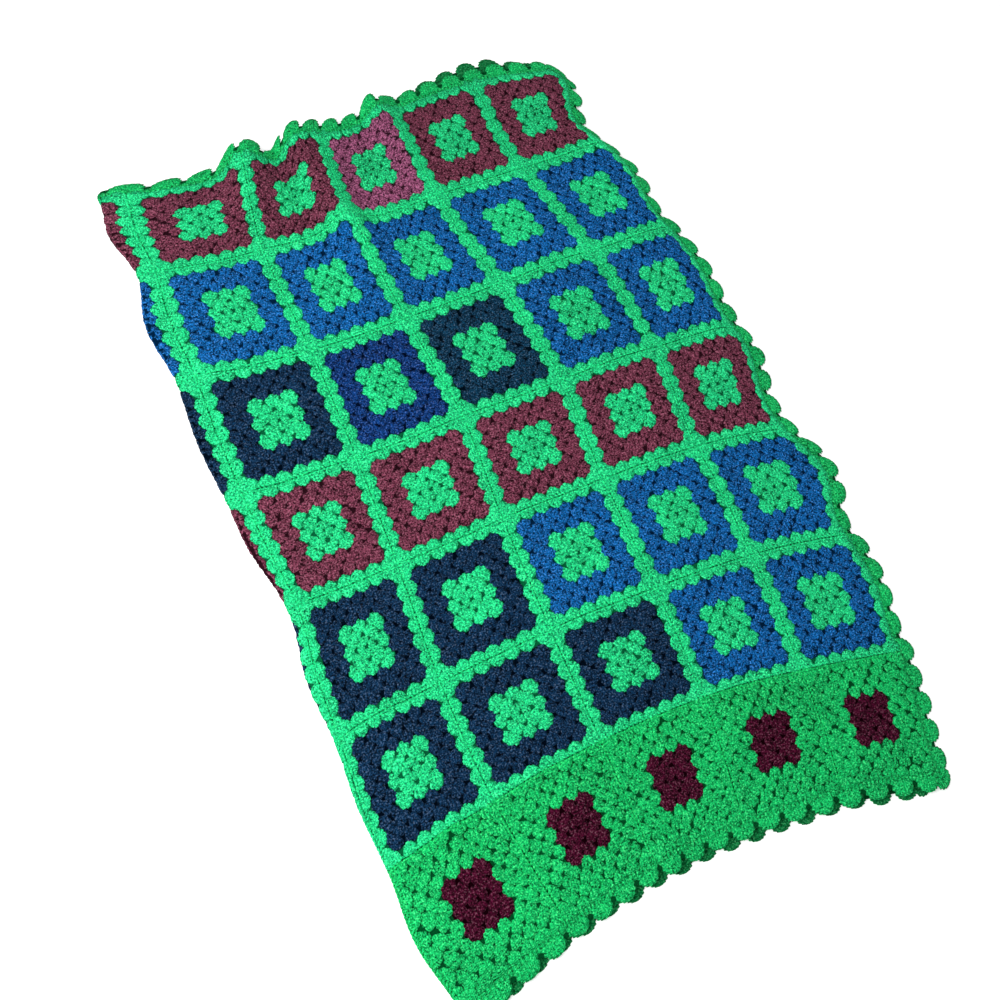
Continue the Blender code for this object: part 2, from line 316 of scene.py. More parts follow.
# The depths between which a stitch goes from painted shade to its full dye, and the painted highlight of
# the loose fibres
PAINTED_SHADE_FROM = 0.25
PAINTED_SHADE_TO = 0.95
PAINTED_FUZZ_HIGHLIGHT_FROM = 0.06
PAINTED_FUZZ_HIGHLIGHT = 0.5
PLY_RELIEF = 0.35
RELIEF_STRENGTH = 0.9
RELIEF_HEIGHT = 0.0013
ROUGHNESS = 0.68
ROUGHNESS_RANGE = 0.25
GROUND_ROUGHNESS = 0.95
SHEEN = 0.01
SHEEN_ROUGHNESS = 0.6
SHINE = 0.03

# ---------------------------------------------------------------- the stage
CAMERA_PLACE = (-0.5631, -0.5297, 1.6108)
CAMERA_TURN = (21.414, -8.9935, -24.6357)
SENSOR_WIDTH = 36
VIEW_DEPTH = 50
FLOOR_SIZE = 12
FLOOR_TONE = 0.95
FLOOR_ROUGHNESS = 0.9
FLOOR_GLOW = 0.38
LIGHT_PLACE = (-0.95, -0.1, 1.3)
LIGHT_SIZE = 1.2
ROOM_LIGHT = 0.5


# ================================================================ laying
def column(table, names, name):
    return np.array([row[names.index(name)] for row in table]) / 1000


def along_rows(values, down):
    """The smooth curve through one value for each seam between rows, straight past its ends."""
    values = np.concatenate([[2 * values[0] - values[1]], values, [2 * values[-1] - values[-2]]])
    place = np.clip(down / SQUARE_LENGTH, -ROWS_PAST_END, ROWS + ROWS_PAST_END)
    first = np.clip(np.floor(place).astype(int), 0, ROWS - 1)
    t = place - first
    before, here, there, after = (values[first + step] for step in range(4))
    return here + 0.5 * t * (
        there - before
        + t * (2 * before - 5 * here + 4 * there - after + t * (3 * (here - there) + after - before))
    )


def seam(name, down):
    return along_rows(column(SEAMS, SEAM_COLUMNS, name), down)


def across_seams(place, values):
    """The smooth curve through the values at lengthwise seams 0, 1, 2.5, 4 and 5, for a point that
    lies place (0 to 1) of the way from the first of them to the last."""
    knots = (0, 0.2, 0.5, 0.8, 1)
    result = np.zeros_like(place)
    for knot, value in zip(knots, values, strict=True):
        weight = value
        for other in knots:
            if other != knot:
                weight = weight * (place - other) / (knot - other)
        result += weight
    return result


def row_places(down):
    """The row that a place lies in, and how far down it, from 0 to 1."""
    row = np.clip(np.floor(down / SQUARE_LENGTH).astype(int), 0, ROWS - 1)
    return row, np.clip(down / SQUARE_LENGTH - row, 0, 1)


def fold_bulge(down):
    row, share = row_places(down)
    return np.array(BULGES)[row] * np.sin(np.pi * share) ** 2


def side_shift(down):
    """How far right of its line the last column's outer side lies."""
    row, share = row_places(down)
    bulge = np.array(SIDE_BULGES)[row] * np.sin(np.pi * share) ** 2
    return bulge + np.array(SIDE_SWAYS)[row] * np.sin(2 * np.pi * share)


def ridge_height(x, y):
    """The rise of the upper layer's folds above its flat level."""
    total = np.zeros_like(x)
    for row in RIDGES:
        x0, y0, h0, x1, y1, h1, left, right = (value / 1000 for value in row)
        length = np.hypot(x1 - x0, y1 - y0)
        along = ((x - x0) * (x1 - x0) + (y - y0) * (y1 - y0)) / length
        aside = ((x - x0) * (y1 - y0) - (y - y0) * (x1 - x0)) / length
        width = np.where(aside > 0, left, right)
        past = np.maximum(np.maximum(-along, along - length), 0) / RIDGE_END
        height = h0 + (h1 - h0) * np.clip(along / length, 0, 1)
        total += height * np.exp(-((aside / width) ** 2) - past**2)
    return total


def smooth_step(t):
    t = np.clip(t, 0, 1)
    return t * t * (3 - 2 * t)


def upper_share(across, down):
    """How far round the fold a flat point is: 0 on the lower layer and 1 on the upper one."""
    return smooth_step(0.5 + (across + seam("turned", down)) / (2 * HALF_BEND))


def lay_middle(across, down):
    """The laid place of points of the flat blanket's middle surface."""
    from_fold = across + seam("turned", down)
    flat_run = np.abs(from_fold) - HALF_BEND
    turn = np.clip(from_fold / FOLD_RADIUS, -np.pi / 2, np.pi / 2)
    run = FOLD_RADIUS * (1 - np.cos(turn)) + np.maximum(flat_run, 0)
    upper = upper_share(across, down)

    fold = seam("fold", down) + FOLD_TUCK * np.clip(-down / SHELL_DEPTH, 0, 1) ** 2
    last = seam("last", down)
    half_run = HALF * SQUARE_WIDTH - HALF_BEND + FOLD_RADIUS
    upper_stretch = (last - fold) / (half_run + seam("turned", down))
    lower_stretch = (last - RIGHT_TUCK - fold) / (half_run - seam("turned", down))
    stretch = np.where(from_fold > 0, upper_stretch, lower_stretch)
    x = fold - fold_bulge(down) * np.exp(-run / BULGE_REACH) + run * stretch
    to_side = last - np.where(from_fold > 0, 0, RIGHT_TUCK) - x
    shift = side_shift(down) * np.exp(-np.maximum(to_side, 0) / SIDE_REACH)

    place = x / last
    y = across_seams(place, [seam(name, down) for name in ("y0", "y1", "y2_5", "y4", "y5")])
    across_upper = np.clip((x - fold) / (last - fold), 0, 1)
    pulled = across_seams(across_upper, [0, *(seam(name, down) for name in ("x1", "x2_5", "x4")), 0])
    x += np.where(from_fold > 0, pulled, 0) + shift
    share = down / (ROWS * SQUARE_LENGTH)
    shown = np.exp(-(((place - FAR_PEEK_PLACE) / FAR_PEEK_WIDTH) ** 2))
    far = (FAR_PEEK * shown - FAR_TUCK * (1 - shown)) * smooth_step(1 - share / PEEK_SHARE)
    near = (NEAR_PEEK_LOSS * place - NEAR_PEEK) * smooth_step(1 - (1 - share) / PEEK_SHARE)
    y += np.where(from_fold < 0, smooth_step(run / PEEK_REACH), 0) * (far + near)

    drop = 1 - smooth_step((across - HALF * SQUARE_WIDTH + EDGE_DROP_START) / EDGE_DROP)
    rise = LAYER_RISE * (0.5 + 0.5 * np.sin(turn)) * np.where(from_fold > 0, drop, 1)
    ridge = upper * drop * ridge_height(x, y)
    y += RIDGE_LEAN * ridge
    return np.stack([x - MIDDLE[0], y - MIDDLE[1], LOWER_HEIGHT + rise + ridge], axis=-1)


def lay(flat):
    """The laid places of flat points (across, -down, height over the middle surface)."""
    across, down, height = flat[:, 0], -flat[:, 1], flat[:, 2]
    along_x = lay_middle(across + NORMAL_STEP, down) - lay_middle(across - NORMAL_STEP, down)
    along_y = lay_middle(across, down - NORMAL_STEP) - lay_middle(across, down + NORMAL_STEP)
    normal = np.cross(along_x, along_y)
    normal /= np.linalg.norm(normal, axis=-1, keepdims=True)
    relief = UNDER_RELIEF + (1 - UNDER_RELIEF) * upper_share(across, down)
    return lay_middle(across, down) + normal * (height * relief)[:, None]


def lay_mesh(mesh):
    flat = np.empty(len(mesh.vertices) * 3, dtype=np.float32)
    mesh.vertices.foreach_get("co", flat)
    mesh.vertices.foreach_set("co", lay(flat.reshape(-1, 3).astype(float)).ravel())
    mesh.update()


# ================================================================ single stitches
def grow_post(bm, foot, head, rings, sides, lift=0.0):
    """One closed yarn post from its foot to its head, both (x, y) in mm. Its strand layer holds
    how far along the post a point is, how far round it, and how deep it lies in the fabric, which sets
    its painted shade."""
    strand = bm.verts.layers.float_vector.get("strand") or bm.verts.layers.float_vector.new("strand")
    foot, head = Vector((*foot, 0)) / 1000, Vector((*head, 0)) / 1000
    way = (head - foot).normalized()
    side = way.cross(Vector((0, 0, 1)))
    for number, (share, wide, thick, lean, ring_lift) in enumerate(rings):
        place = foot.lerp(head, share) + side * (lean / 1000)
        place.z = (ring_lift + lift) / 1000
        axes = Matrix((side * (wide / 1000), Vector((0, 0, thick / 1000)), way * -0.001)).transposed()
        matrix = Matrix.Translation(place) @ axes.to_4x4()
        if number == 0:
            ring = bmesh.ops.create_circle(bm, cap_ends=True, segments=sides, radius=1, matrix=matrix)
            verts = ring["verts"]
            cap = verts[0].link_faces[0]
        else:
            grown = bmesh.ops.extrude_face_region(bm, geom=[cap])
            if number > 1:
                bmesh.ops.delete(bm, geom=[cap], context="FACES_ONLY")
            verts = [item for item in grown["geom"] if isinstance(item, bmesh.types.BMVert)]
            cap = next(item for item in grown["geom"] if isinstance(item, bmesh.types.BMFace))
            bmesh.ops.transform(bm, matrix=matrix @ before.inverted(), verts=verts)
        for vert in verts:
            local = matrix.inverted() @ vert.co
            around = (np.arctan2(local.y, local.x) / (2 * np.pi) + 0.25) % 1
            length = share * (head - foot).length * 1000
            vert[strand] = (length, around, 0.5 + vert.co.z / PAINTED_SHADE_DEPTH)
        before = matrix


def stitch_mesh(name, posts, rings, sides):
    """The flat mesh of a stitch of several posts, closed and smooth."""
    bm = bmesh.new()
    for foot, head, lift in posts:
        grow_post(bm, foot, head, rings, sides, lift)
    bmesh.ops.recalc_face_normals(bm, faces=bm.faces)
    mesh = bpy.data.meshes.new(name)
    bm.to_mesh(mesh)
    bm.free()
    mesh.shade_smooth()
    return mesh


def cluster_mesh(table, rings, sides):
    """Three posts worked into one space, spreading towards their heads."""
    posts = [((fx, fy), (hx, hy), lift) for fx, fy, hx, hy, lift in table]
    return stitch_mesh("cluster", posts, rings, sides)


def shell_mesh():
    """A shell of posts fanned from one space, on a nominal width, its foot at the origin."""
    reach = (SHELL_DEPTH - SHELL_FOOT) * 1000
    half = SHELL_NOMINAL / 2 * 1000
    posts = []
    for turn in np.linspace(-SHELL_TURN, SHELL_TURN, SHELL_POSTS):
        foot = (SHELL_FOOT_SPREAD * 1000 * np.sin(turn), SHELL_FOOT_RISE * (1 - np.cos(turn)))
        head = (half * SHELL_SPREAD * np.sin(turn), reach * np.cos(turn) ** SHELL_FLATNESS)
        posts.append((foot, head, SHELL_LIFT * np.cos(turn)))
    return stitch_mesh("shell", posts, SHELL_RINGS, EDGING_SIDES)


def chain_mesh():
    """One chain link of a join, along X."""
    half = CHAIN_PITCH * CHAIN_OVERLAP / 2 * 1000
    return stitch_mesh("chain", [((-half, 0), (half, 0), CHAIN_LIFT)], CHAIN_RINGS, CHAIN_SIDES)


# ================================================================ joining stitches to flat pieces
class Workbasket:
    """A flat piece that grows by copies of stitches, each with its own place, yarn and tone."""

    def __init__(self):
        self.bm = bmesh.new()
        self.tones = []

    def add(self, mesh, matrix, yarn=0, tone=None):
        first_vert, first_face = len(self.bm.verts), len(self.bm.faces)
        self.bm.from_mesh(mesh)
        self.bm.verts.ensure_lookup_table()
        self.bm.faces.ensure_lookup_table()
        bmesh.ops.transform(self.bm, matrix=matrix, verts=self.bm.verts[first_vert:])
        if yarn is not None:
            for face in self.bm.faces[first_face:]:
                face.material_index = yarn
        if tone is not None:
            self.tones += [tone] * len(mesh.vertices)

    def finish(self, name):
        mesh = bpy.data.meshes.new(name)
        self.bm.to_mesh(mesh)
        self.bm.free()
        if self.tones:
            mesh.attributes.new("tone", "FLOAT", "POINT").data.foreach_set("value", self.tones)
        return mesh


def blanket_object(name, mesh, yarns):
    """The laid, shown and riding object of a flat mesh."""
    lay_mesh(mesh)
    for yarn in yarns:
        mesh.materials.append(bpy.data.materials[f"{yarn} yarn"])
    obj = bpy.data.objects.new(name, mesh)
    bpy.context.scene.collection.objects.link(obj)
    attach(obj, "root")
    return obj


# ================================================================ the squares
def round_radius(number):
    return CENTRE_HOLE + ROUND_HEIGHT * number


def cluster_spread(number):
    """How far apart the clusters of a round lie along one side."""
    gap = BORDER_CORNER_GAP if number == ROUNDS else CORNER_GAP
    return (2 * round_radius(number) - gap) / number


def cluster_places(number):
    """The feet and heads of one side's clusters in a round: the feet in the spaces below, the outer
    two in the corner spaces."""
    inner, outer = round_radius(number - 1), round_radius(number)
    dip = BORDER_FOOT_DIP if number == ROUNDS else FOOT_DIP
    for cluster in range(number):
        from_middle = cluster - (number - 1) / 2
        head = Vector((from_middle * cluster_spread(number), outer, 0))
        corner = number > 1 and cluster in (0, number - 1)
        if number == 1:
            foot = Vector((0, CENTRE_HOLE, 0))
        elif corner:
            foot = Vector((np.sign(from_middle) * (inner - CORNER_FOOT_IN), inner - CORNER_FOOT_DIP, 0))
        else:
            foot = Vector((from_middle * cluster_spread(number - 1), inner - dip, 0))
        yield foot, head


def granny_square(cluster, border, plain, hand, detail_from=-1.0):
    """The flat mesh of one square round its own middle. A face's material index is its round. Its
    clusters left of detail_from are plain ones, for a square that is turned under there."""
    basket = Workbasket()
    for number in range(1, ROUNDS + 1):
        detailed = border if number == ROUNDS else cluster
        places = [(foot, head, Vector((1, 0, 0))) for foot, head in cluster_places(number)]
        if number == ROUNDS:
            inner, outer = round_radius(number - 1), round_radius(number)
            foot, head = Vector((inner, inner, 0)), Vector((outer, outer, 0)) * CORNER_REACH
            places.append((foot, head, Vector((1, -1, 0)).normalized()))
        for side in range(4):
            quarter = Matrix.Rotation(side * np.pi / 2, 4, "Z")
            for foot, head, along in places:
                size = 1 + STRAY_SIZE * hand.normal()
                way = (head - foot) / CLUSTER_HEIGHT
                width = FIRST_ROUND_WIDTH if number == 1 else cluster_spread(number) / CLUSTER_WIDTH
                axes = Matrix((along * width * size, way, (0, 0, 1))).transposed().to_4x4()
                stray = Vector((STRAY * hand.normal(), STRAY * hand.normal(), 0))
                turn = Matrix.Rotation(STRAY_TURN * hand.normal(), 4, "Z")
                matrix = quarter @ Matrix.Translation(foot + stray) @ turn @ axes
                stitch = detailed if (quarter @ head).x > detail_from else plain
                basket.add(stitch, matrix, yarn=number - 1, tone=hand.normal())
    return basket.finish("granny square")


def ring_yarn(column_number, row):
    """The yarn of the rings of the square in a column, from -5 to 4, and a row, from 0 to 6."""
    if (column_number, row) in ODD_SQUARES:
        return ODD_SQUARES[column_number, row]
    if column_number >= BLUE_FROM.get(row, HALF):
        return "blue"
    return ROW_YARNS[row]


def round_yarns(column_number, row):
    """The yarn of each of a square's rounds."""
    centre, border = ("dark_maroon", "leaf_green") if row == TURNED_ROW else ("green", "green")
    ring = ring_yarn(column_number, row)
    rings = [ring] * (RING_ROUNDS - CENTRE_ROUNDS)
    return [centre] * CENTRE_ROUNDS + rings + [border] * (ROUNDS - RING_ROUNDS)


def square_matrix(column_number, row, quarter):
    """Takes a square from its own middle to its place in the flat blanket."""
    place = Vector(((column_number + 0.5) * SQUARE_WIDTH, -(row + 0.5) * SQUARE_LENGTH, 0))
    fit = Matrix.Diagonal((SQUARE_WIDTH / NOMINAL_SQUARE, SQUARE_LENGTH / NOMINAL_SQUARE, 1, 1))
    return Matrix.Translation(place) @ fit @ Matrix.Rotation(quarter * np.pi / 2, 4, "Z")


def square_strip(name, places, patterns, hand, turned=None):
    """The laid object of the squares at (column, row) places. The one that runs round the fold has
    its own pattern, turned."""
    basket = Workbasket()
    rounds, tones = [], []
    for column_number, row in places:
        pattern, quarter = patterns[hand.integers(len(patterns))], hand.integers(4)
        if turned and column_number < 0:
            pattern, quarter = turned, 0
        basket.add(pattern, square_matrix(column_number, row, quarter), yarn=None)
        numbers = np.empty(len(pattern.polygons), dtype=np.int32)
        pattern.polygons.foreach_get("material_index", numbers)
        yarns = np.array([YARNS.index(yarn) for yarn in round_yarns(column_number, row)])
        rounds.append(yarns[numbers])
        tone = np.empty(len(pattern.vertices), dtype=np.float32)
        pattern.attributes["tone"].data.foreach_get("value", tone)
        tones.append(tone + STRAY_TONE * hand.normal())
    mesh = basket.finish(name)
    mesh.polygons.foreach_set("material_index", np.concatenate(rounds))
    mesh.attributes["tone"].data.foreach_set("value", np.concatenate(tones).astype(np.float32))
    return blanket_object(name, mesh, YARNS)


# ================================================================ the ground under the stitches
def ground_lines(count, size, reach):
    """The lines of the ground along one way: seams, rounds where the yarn changes, space sides."""
    ring = round_radius(RING_ROUNDS) * size / NOMINAL_SQUARE
    steps = (0, SPACE_FROM_CENTRE - SPACE_SIZE / 2, SPACE_FROM_CENTRE + SPACE_SIZE / 2, ring, size / 2)
    steps += GROUND_LINES
    middles = [(number + 0.5) * size for number in range(count)]
    lines = {round(middle + side * step, 5) for middle in middles for step in steps for side in (-1, 1)}
    return sorted(lines | {-reach, count * size + reach})


def ground_yarn(across, down):
    """The yarn that a point of the ground belongs to, or None in a corner space."""
    column_number, row = int(across // SQUARE_WIDTH), int(down // SQUARE_LENGTH)
    if not (-HALF <= column_number < HALF and 0 <= row < ROWS):
        return "leaf_green"
    aside = abs(across % SQUARE_WIDTH - SQUARE_WIDTH / 2)
    along = abs(down % SQUARE_LENGTH - SQUARE_LENGTH / 2)
    if max(abs(aside - SPACE_FROM_CENTRE), abs(along - SPACE_FROM_CENTRE)) < SPACE_SIZE / 2:
        return None
    radius = max(aside / SQUARE_WIDTH, along / SQUARE_LENGTH) * NOMINAL_SQUARE
    number = int((radius - CENTRE_HOLE) / ROUND_HEIGHT)
    return round_yarns(column_number, row)[min(max(number, 0), ROUNDS - 1)]


def ground_sheet():
    """The flat mesh of the cloth that the clusters make, thin and with its corner spaces open."""
    reach = GROUND_REACH
    acrosses = [line - HALF * SQUARE_WIDTH for line in ground_lines(COLUMNS, SQUARE_WIDTH, reach)]
    bend = [step / 1000 for step in BEND_LINES]
    first, last = bend[0] - BEND_MARGIN, bend[-1] + BEND_MARGIN
    acrosses = sorted([line for line in acrosses if not first < line < last] + bend)
    downs = ground_lines(ROWS, SQUARE_LENGTH, reach)
    bm = bmesh.new()
    bmesh.ops.create_grid(bm, x_segments=len(acrosses) - 1, y_segments=len(downs) - 1, size=1)
    for vert, place in zip(bm.verts, [(a, -d, 0) for d in downs for a in acrosses], strict=True):
        vert.co = place
    spaces = []
    for face in bm.faces:
        middle = face.calc_center_median()
        yarn = ground_yarn(middle.x, -middle.y)
        if yarn is None:
            spaces.append(face)
        else:
            face.material_index = YARNS.index(yarn)
        face.smooth = True
    bmesh.ops.delete(bm, geom=spaces, context="FACES")
    bmesh.ops.reverse_faces(bm, faces=[face for face in bm.faces if face.normal.z < 0])
    mesh = bpy.data.meshes.new("ground")
    bm.to_mesh(mesh)
    bm.free()
    return mesh


# ================================================================ the joins
def add_chain(basket, link, start, end, pitch, flatness, slant, hand):
    """A row of chain links along the flat line from start to end, each turned by slant."""
    start, end = Vector((*start, 0)), Vector((*end, 0))
    count = round((end - start).length / pitch)
    way = (end - start).normalized()
    side = Vector((-way.y, way.x, 0))
    for number in range(count):
        place = start.lerp(end, (number + 0.5) / count)
        axes = Matrix((way * (pitch / CHAIN_PITCH), side, (0, 0, flatness))).transposed().to_4x4()
        turn = Matrix.Rotation(slant * (1 + CHAIN_SLANT_STRAY * hand.normal()), 4, "Z")
        last_row = -place.y > TURNED_ROW * SQUARE_LENGTH
        # Painted highlight: the chains' tone is raised so that their ridges read paler
        tone = CHAIN_PAINTED_HIGHLIGHT + hand.normal()
        basket.add(link, Matrix.Translation(place) @ turn @ axes, yarn=int(last_row), tone=tone)


def add_join(basket, link, start, end, pitch, flatness, hand):
    """The two chains of a join, one on each side of the seam, with a groove between them."""
    away = (end[1] - start[1], start[0] - end[0])
    length = np.hypot(*away)
    for side in (-1, 1):
        step = [side * CHAIN_FROM_SEAM * part / length for part in away]
        moved = [(point[0] + step[0], point[1] + step[1]) for point in (start, end)]
        add_chain(basket, link, *moved, pitch, flatness, side * CHAIN_SLANT, hand)


# ================================================================ the edging
def edging_sides():
    """The blanket's four sides: first corner, way along, length, way out and number of shells."""
    half, length = HALF * SQUARE_WIDTH, ROWS * SQUARE_LENGTH
    return (
        ((-half, 0), (1, 0), 2 * half, (0, 1), SHELLS_ACROSS),
        ((half, 0), (0, -1), length, (1, 0), SHELLS_DOWN),
        ((half, -length), (-1, 0), 2 * half, (0, -1), SHELLS_ACROSS),
        ((-half, -length), (0, 1), length, (-1, 0), SHELLS_DOWN),
    )


def edging_mesh(hand):
    """The base round of single posts and the round of shells, all round the blanket."""
    post = [((0, -BASE_TUCK), (0, BASE_ROUND * 1000), 0.0)]
    base_post = stitch_mesh("base post", post, BASE_RINGS, EDGING_SIDES)
    shell = shell_mesh()
    basket = Workbasket()
    for corner, way, length, out, shells in edging_sides():
        corner, way, out = (Vector((*pair, 0)) for pair in (corner, way, out))
        right = out.cross(Vector((0, 0, 1)))
        axes = Matrix((right, out, (0, 0, 1))).transposed().to_4x4()
        count = round(length / BASE_POST_PITCH)
        for number in range(count):
            place = corner + way * (length * (number + 0.5) / count)
            sway = Matrix.Rotation(STRAY_TURN * hand.normal(), 4, "Z")
            basket.add(base_post, Matrix.Translation(place) @ sway @ axes, tone=hand.normal())
        for turn in CORNER_POST_TURNS:
            bend = Matrix.Rotation(turn - np.pi / 2, 4, "Z")
            place = Matrix.Translation(corner + way * length)
            basket.add(base_post, place @ bend @ axes, tone=hand.normal())
        for number in range(shells):
            place = corner + way * (length * (number + 0.5) / shells) + out * SHELL_FOOT
            depth = 1 + STRAY_SIZE * hand.normal()
            if number == BENT_SHELL and out.y > 0:
                depth = BENT_SHELL_DEPTH
            fit = Matrix.Diagonal((length / shells / SHELL_NOMINAL, depth, 1, 1))
            basket.add(shell, Matrix.Translation(place) @ axes @ fit, tone=hand.normal())
        diagonal = (out + way).normalized()
        bend = Matrix.Rotation(-np.pi / 4, 4, "Z")
        place = Matrix.Translation(corner + way * length + diagonal * SHELL_FOOT)
        basket.add(shell, place @ bend @ axes, tone=hand.normal())
    return basket.finish("edging")


# ================================================================ the yarn
def node(tree, kind, inputs=None, **settings):
    """A node with its settings, its inputs linked to sockets or set to values."""
    made = tree.nodes.new(kind)
    for name, value in settings.items():
        setattr(made, name, value)
    for key, value in (inputs or {}).items():
        if isinstance(value, bpy.types.NodeSocket):
            tree.links.new(value, made.inputs[key])
        else:
            made.inputs[key].default_value = value
    return made


def maths(tree, operation, *values):
    return node(tree, "ShaderNodeMath", dict(enumerate(values)), operation=operation).outputs[0]


def noise(tree, scale, detail=2.0, roughness=0.5):
    """A noise fixed to the cloth."""
    place = node(tree, "ShaderNodeTexCoord").outputs["Object"]
    inputs = {"Vector": place, "Scale": scale, "Detail": detail, "Roughness": roughness}
    return node(tree, "ShaderNodeTexNoise", inputs).outputs[0]


def plied_yarn_group():
    """The look of plied acrylic yarn on any stitch: its twist with painted shade along the plies, its
    flecks of fibre with a painted highlight on the loose ones, uneven dye and painted shade in the spaces
    between stitches."""
    group = bpy.data.node_groups.new("Plied yarn", "ShaderNodeTree")
    sockets = group.interface
    sockets.new_socket(name="Dye", in_out="INPUT", socket_type="NodeSocketColor")
    for name, default in zip(("Fleck", "Hollow", "Twist"), (*RING_FLECK_AND_PAINTED_SHADE, PAINTED_PLY_SHADE), strict=True):
        socket = sockets.new_socket(name=name, in_out="INPUT", socket_type="NodeSocketFloat")
        socket.default_value = default
    sockets.new_socket(name="Colour", in_out="OUTPUT", socket_type="NodeSocketColor")
    sockets.new_socket(name="Roughness", in_out="OUTPUT", socket_type="NodeSocketFloat")
    sockets.new_socket(name="Normal", in_out="OUTPUT", socket_type="NodeSocketVector")
    given = node(group, "NodeGroupInput").outputs
    strand = node(group, "ShaderNodeAttribute", attribute_name="strand").outputs["Vector"]
    tone = node(group, "ShaderNodeAttribute", attribute_name="tone").outputs["Fac"]
    parts = node(group, "ShaderNodeSeparateXYZ", {0: strand}).outputs
    along, around, depth = parts[0], parts[1], parts[2]

    plies = maths(group, "MULTIPLY_ADD", along, PLIES_ALONG, maths(group, "MULTIPLY", around, PLIES_ROUND))
    twist = maths(group, "SINE", plies)
    fibre = noise(group, FIBRE_SCALE, FIBRE_DETAIL, FIBRE_ROUGHNESS)
    fuzz = noise(group, FUZZ_SCALE)
    dye = noise(group, DYE_SCALE)
    loose = maths(group, "SUBTRACT", fuzz, 0.5)
    fleck = maths(group, "ADD", maths(group, "SUBTRACT", fibre, 0.5), loose)
    bright = maths(group, "MULTIPLY_ADD", maths(group, "MULTIPLY", fleck, given["Fleck"]), FLECK_LIGHT, 1.0)
    # Painted shade and highlight along the plies' twist, on top of their bump
    turned = maths(group, "MULTIPLY", twist, given["Twist"])
    bright = maths(group, "MULTIPLY_ADD", turned, PAINTED_PLY_SHADE_LIGHT, bright)
    bright = maths(group, "MULTIPLY_ADD", tone, TONE_LIGHT, bright)
    uneven = maths(group, "SUBTRACT", dye, 0.5)
    bright = maths(group, "MULTIPLY_ADD", uneven, DYE_LIGHT, bright)
    # Painted shade: the deeper a point lies between the stitches, the darker its dye
    depths = {"Value": depth, "From Min": PAINTED_SHADE_FROM, "From Max": PAINTED_SHADE_TO, "To Min": given["Hollow"]}
    painted_shade_by_depth = node(group, "ShaderNodeMapRange", depths)
    bright = maths(group, "MULTIPLY", bright, painted_shade_by_depth.outputs[0])
    bright = maths(group, "MAXIMUM", bright, DARKEST)
    dyed = node(group, "ShaderNodeVectorMath", {0: given["Dye"], "Scale": bright}, operation="SCALE")
    # Painted highlight: the peaks of the fuzz noise add white, as light caught by loose fibres
    painted_fuzz_highlight = maths(group, "MAXIMUM", maths(group, "SUBTRACT", loose, PAINTED_FUZZ_HIGHLIGHT_FROM), 0.0)
    painted_fuzz_highlight = maths(group, "MULTIPLY", painted_fuzz_highlight, PAINTED_FUZZ_HIGHLIGHT)
    colour = node(group, "ShaderNodeVectorMath", {0: dyed.outputs[0], 1: painted_fuzz_highlight}, operation="ADD")

    height = maths(group, "MULTIPLY_ADD", twist, PLY_RELIEF, fibre)
    relief = {"Height": height, "Strength": RELIEF_STRENGTH, "Distance": RELIEF_HEIGHT}
    bump = node(group, "ShaderNodeBump", relief)
    rough = maths(group, "MULTIPLY_ADD", fibre, ROUGHNESS_RANGE, ROUGHNESS)
    looks = {"Colour": colour.outputs[0], "Roughness": rough, "Normal": bump.outputs[0]}
    node(group, "NodeGroupOutput", looks)
    return group


def yarn_material(name, dye, group):
    """Yarn of one dye lot. The paler greens show less of their flecks and less painted shade between the
    stitches.
    """
    material = bpy.data.materials.new(f"{name} yarn")
    material.use_nodes = True
    tree = material.node_tree
    shader = tree.nodes["Principled BSDF"]
    yarn = node(tree, "ShaderNodeGroup", node_tree=group)
    yarn.inputs["Dye"].default_value = (*dye, 1)
    fleck, painted_hollow_shade = YARN_FLECK_AND_PAINTED_SHADE.get(name, RING_FLECK_AND_PAINTED_SHADE)
    yarn.inputs["Fleck"].default_value = fleck
    yarn.inputs["Hollow"].default_value = painted_hollow_shade
    tree.links.new(yarn.outputs["Colour"], shader.inputs["Base Color"])
    tree.links.new(yarn.outputs["Roughness"], shader.inputs["Roughness"])
    tree.links.new(yarn.outputs["Normal"], shader.inputs["Normal"])
    shader.inputs["Sheen Weight"].default_value = SHEEN
    shader.inputs["Sheen Roughness"].default_value = SHEEN_ROUGHNESS
    shader.inputs["Specular IOR Level"].default_value = SHINE
    return material


def painted_shade_material(name, dye):
    """The inside of the cloth, seen only between the stitches, painted with shade: its dye darkened to
    stand in for the shadow there.
    """
    # This material holds painted shade, the dye darkened to a few hundredths with a little noise
    material = bpy.data.materials.new(f"{name} ground")
    material.use_nodes = True
    tree = material.node_tree
    shader = tree.nodes["Principled BSDF"]
    light = PAINTED_SHADE_LIGHT.get(name, RING_PAINTED_SHADE_LIGHT)
    bright = maths(tree, "MULTIPLY_ADD", noise(tree, GROUND_SCALE), PAINTED_SHADE_FLECK, light)
    dark = node(tree, "ShaderNodeVectorMath", {0: dye, "Scale": bright}, operation="SCALE")
    tree.links.new(dark.outputs[0], shader.inputs["Base Color"])
    shader.inputs["Roughness"].default_value = GROUND_ROUGHNESS
    shader.inputs["Specular IOR Level"].default_value = 0.0
    return material


